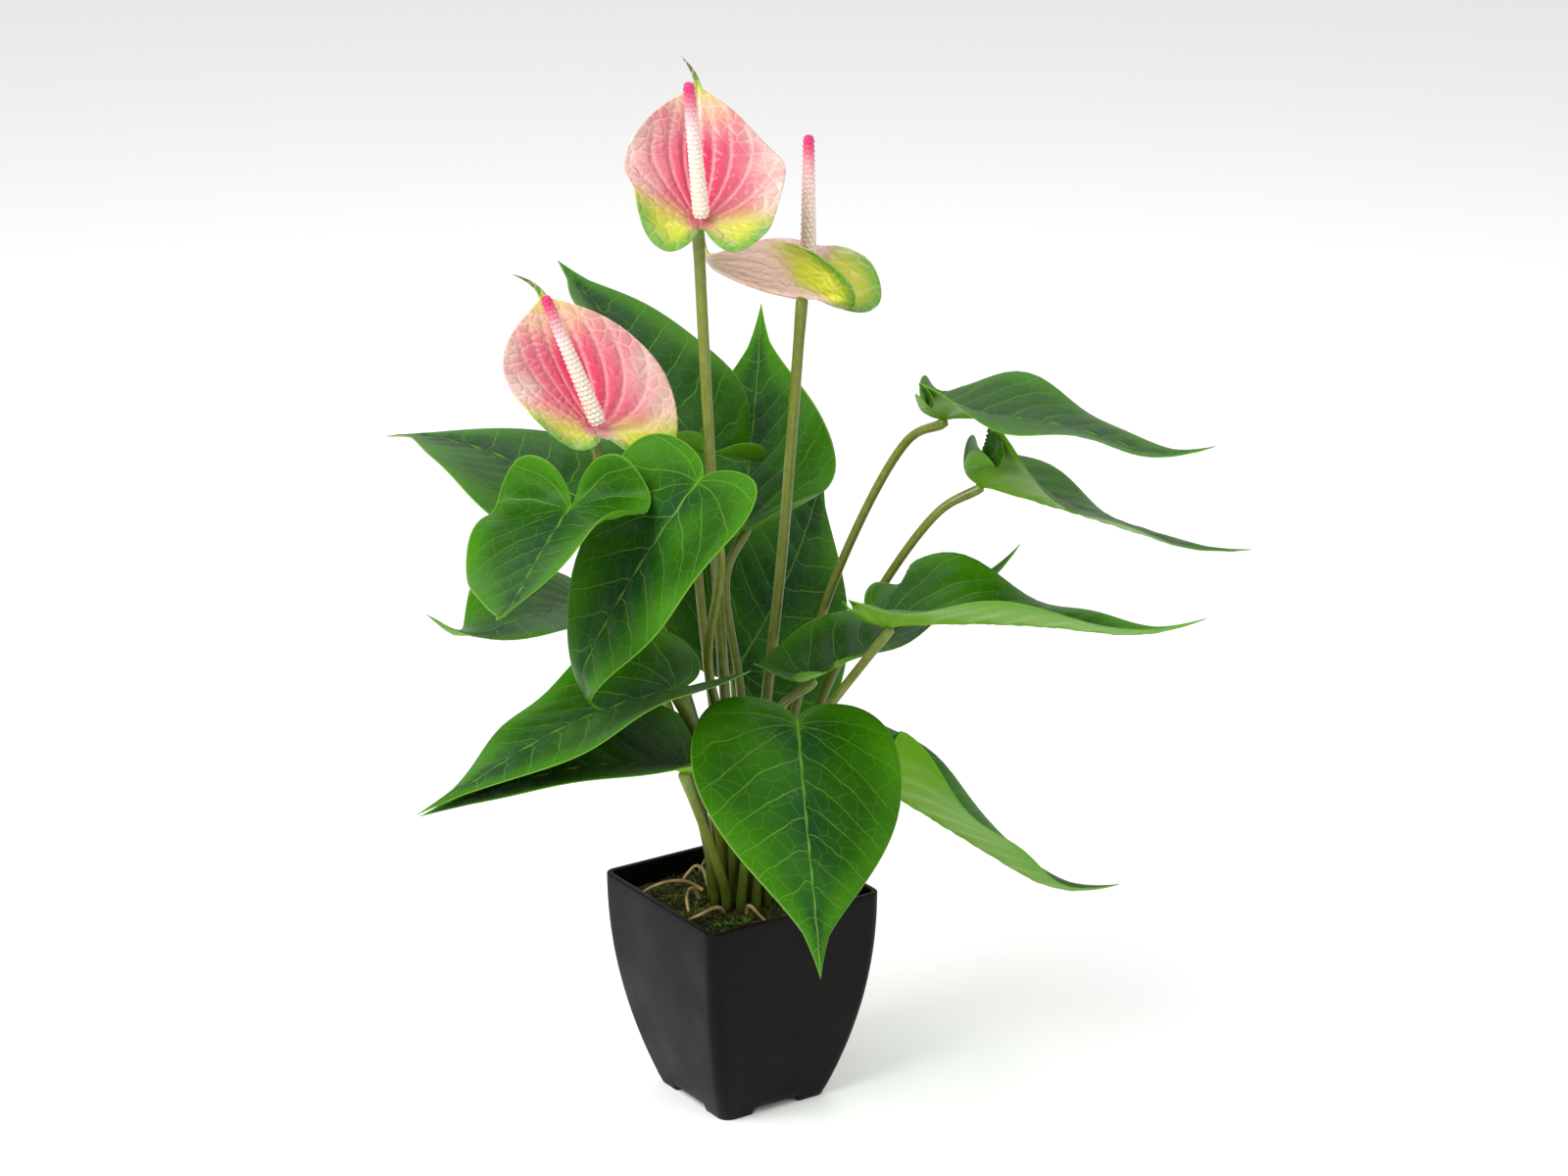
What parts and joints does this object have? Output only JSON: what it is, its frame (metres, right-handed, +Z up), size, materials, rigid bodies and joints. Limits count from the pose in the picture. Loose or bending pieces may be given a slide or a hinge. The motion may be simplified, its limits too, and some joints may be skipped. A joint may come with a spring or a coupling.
{
  "type": "potted anthurium",
  "caption": "Potted anthurium with glossy heart-shaped veined leaves, pink and green spathes with upright spadices, moss-topped soil and a square black plastic pot.",
  "frame": {"origin": "on the ground under the middle of the pot", "axes": "+Z up; the pot's sides face X and Y; the plant's front, and the pictured view, is towards the pot corner between -X and -Y, at azimuth -123.75 degrees from +X"},
  "size_m": [0.3203, 0.3064, 0.4154],
  "materials": {
    "pot_plastic": "satin",
    "soil": "matte",
    "moss": "matte",
    "crown": "matte",
    "root": "matte",
    "stem": "satin",
    "leaf": "satin",
    "spathe": "satin",
    "spadix": "satin"
  },
  "bodies": {
    "root": {"pot": "pot_plastic", "soil": "soil", "moss": "moss", "crown": "crown", "leaf_front": "leaf", "leaf_front_right": "leaf", "leaf_right_low": "leaf", "leaf_right_back": "leaf", "leaf_right_high": "leaf", "leaf_right_mid": "leaf", "leaf_back": "leaf", "leaf_back_left": "leaf", "leaf_centre_back": "leaf", "leaf_centre_front": "leaf", "leaf_left_front": "leaf", "leaf_left_high": "leaf", "leaf_left_mid": "leaf", "leaf_left_low": "leaf", "leaf_left_lowest": "leaf", "petiole_front": "stem", "petiole_front_right": "stem", "petiole_right_low": "stem", "petiole_right_back": "stem", "petiole_right_high": "stem", "petiole_right_mid": "stem", "petiole_back": "stem", "petiole_back_left": "stem", "petiole_centre_back": "stem", "petiole_centre_front": "stem", "petiole_left_front": "stem", "petiole_left_high": "stem", "petiole_left_mid": "stem", "petiole_left_low": "stem", "petiole_left_lowest": "stem", "spathe_top": "spathe", "spathe_right": "spathe", "spathe_left": "spathe", "flower_stalk_top": "stem", "flower_stalk_right": "stem", "flower_stalk_left": "stem", "spadix_top": "spadix", "spadix_right": "spadix", "spadix_left": "spadix", "aerial_root_1": "root", "aerial_root_2": "root", "aerial_root_3": "root", "aerial_root_4": "root", "aerial_root_5": "root", "aerial_root_6": "root", "aerial_root_7": "root"}
  },
  "joints": []
}
